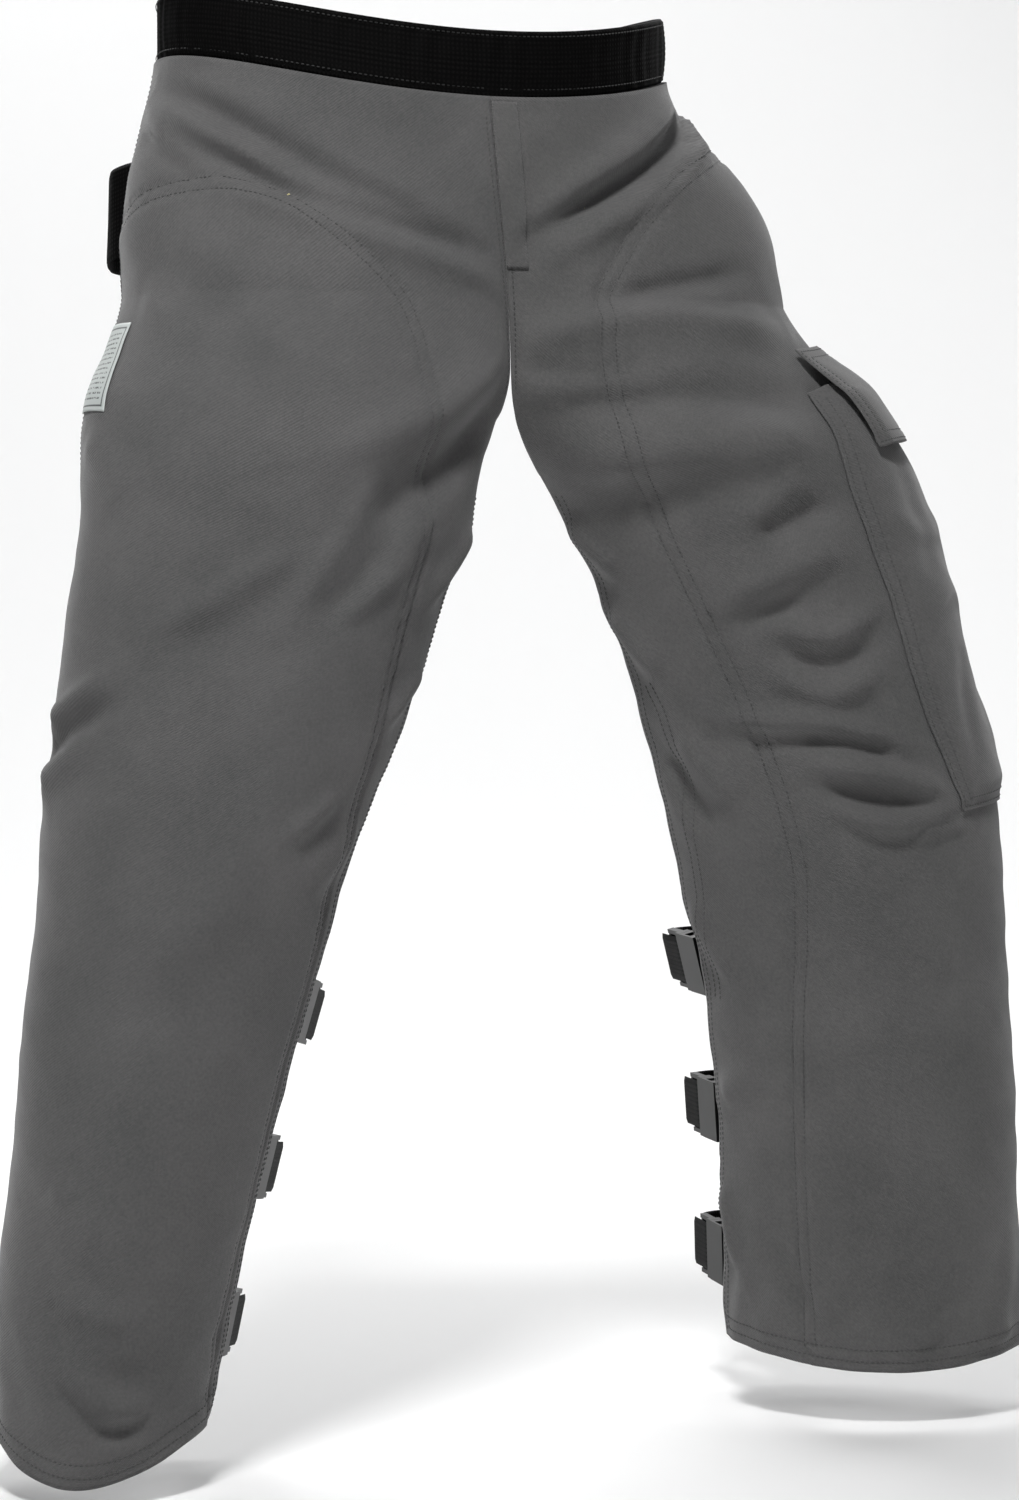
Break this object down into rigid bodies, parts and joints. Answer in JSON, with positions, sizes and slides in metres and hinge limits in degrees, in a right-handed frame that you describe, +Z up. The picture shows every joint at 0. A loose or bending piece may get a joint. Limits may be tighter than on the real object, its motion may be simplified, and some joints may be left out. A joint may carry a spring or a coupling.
{
  "type": "chainsaw chaps",
  "caption": "Wrap-round protective chaps with a waistband, padded leg panels, a thigh pocket with a flap, and buckled straps behind the calves.",
  "frame": {"origin": "centre of the waist opening, level with the highest point of the waistband's top edge", "axes": "+Z up along the wearer's body, -Y to the front, +X to the wearer's left"},
  "size_m": [0.7326, 0.3315, 0.9315],
  "materials": {
    "shell_canvas": "woven, matt",
    "lining_mesh": "knitted, matt",
    "pad_batting": "felted layers",
    "black_webbing": "woven, slightly glossy",
    "buckle_acetal": "moulded, satin",
    "hook_loop_tape": "hook and loop pile",
    "label_satin": "printed satin"
  },
  "bodies": {
    "root": {"waistband": "black_webbing", "seat_strap": "black_webbing", "fly_placket": "shell_canvas", "leg_shell_left": "shell_canvas", "leg_shell_right": "shell_canvas", "cut_pad_left": "pad_batting", "cut_pad_right": "pad_batting", "leg_lining_left": "lining_mesh", "leg_lining_right": "lining_mesh", "cargo_pocket": "shell_canvas", "pocket_loop_tape": "hook_loop_tape", "care_label": "label_satin", "webbing_short_waist": "black_webbing", "buckle_socket_waist": "buckle_acetal", "webbing_short_left_1": "black_webbing", "buckle_socket_left_1": "buckle_acetal", "webbing_short_left_2": "black_webbing", "buckle_socket_left_2": "buckle_acetal", "webbing_short_left_3": "black_webbing", "buckle_socket_left_3": "buckle_acetal", "webbing_short_right_1": "black_webbing", "buckle_socket_right_1": "buckle_acetal", "webbing_short_right_2": "black_webbing", "buckle_socket_right_2": "buckle_acetal", "webbing_short_right_3": "black_webbing", "buckle_socket_right_3": "buckle_acetal"},
    "pocket_flap": {"cargo_flap": "shell_canvas", "flap_hook_tape": "hook_loop_tape"},
    "plug_waist": {"buckle_plug_waist": "buckle_acetal", "webbing_long_waist": "black_webbing"},
    "plug_left_1": {"buckle_plug_left_1": "buckle_acetal", "webbing_long_left_1": "black_webbing"},
    "plug_left_2": {"buckle_plug_left_2": "buckle_acetal", "webbing_long_left_2": "black_webbing"},
    "plug_left_3": {"buckle_plug_left_3": "buckle_acetal", "webbing_long_left_3": "black_webbing"},
    "plug_right_1": {"buckle_plug_right_1": "buckle_acetal", "webbing_long_right_1": "black_webbing"},
    "plug_right_2": {"buckle_plug_right_2": "buckle_acetal", "webbing_long_right_2": "black_webbing"},
    "plug_right_3": {"buckle_plug_right_3": "buckle_acetal", "webbing_long_right_3": "black_webbing"}
  },
  "joints": [
    {"name": "pocket_flap_lift", "type": "hinge", "parent": "root", "child": "pocket_flap", "pos_m": [0.26783, -0.07734, -0.22472], "axis": [-0.429, -0.902, -0.0491], "range_deg": [0, 110]},
    {"name": "buckle_release_waist", "type": "slide", "parent": "root", "child": "plug_waist", "axis": [1, 0, 0], "range_m": [0, 0.026], "deforming": ["webbing_long_waist"]},
    {"name": "buckle_release_left_1", "type": "slide", "parent": "root", "child": "plug_left_1", "axis": [0.1651, 0.9862, 0.014], "range_m": [0, 0.026], "deforming": ["webbing_long_left_1"]},
    {"name": "buckle_release_left_2", "type": "slide", "parent": "root", "child": "plug_left_2", "axis": [0.1937, 0.981, 0.0086], "range_m": [0, 0.026], "deforming": ["webbing_long_left_2"]},
    {"name": "buckle_release_left_3", "type": "slide", "parent": "root", "child": "plug_left_3", "axis": [0.2185, 0.9758, 0.0127], "range_m": [0, 0.026], "deforming": ["webbing_long_left_3"]},
    {"name": "buckle_release_right_1", "type": "slide", "parent": "root", "child": "plug_right_1", "axis": [0.5523, 0.8166, -0.1678], "range_m": [0, 0.026], "deforming": ["webbing_long_right_1"]},
    {"name": "buckle_release_right_2", "type": "slide", "parent": "root", "child": "plug_right_2", "axis": [0.556, 0.8201, -0.1357], "range_m": [0, 0.026], "deforming": ["webbing_long_right_2"]},
    {"name": "buckle_release_right_3", "type": "slide", "parent": "root", "child": "plug_right_3", "axis": [0.5504, 0.8274, -0.1118], "range_m": [0, 0.026], "deforming": ["webbing_long_right_3"]}
  ]
}
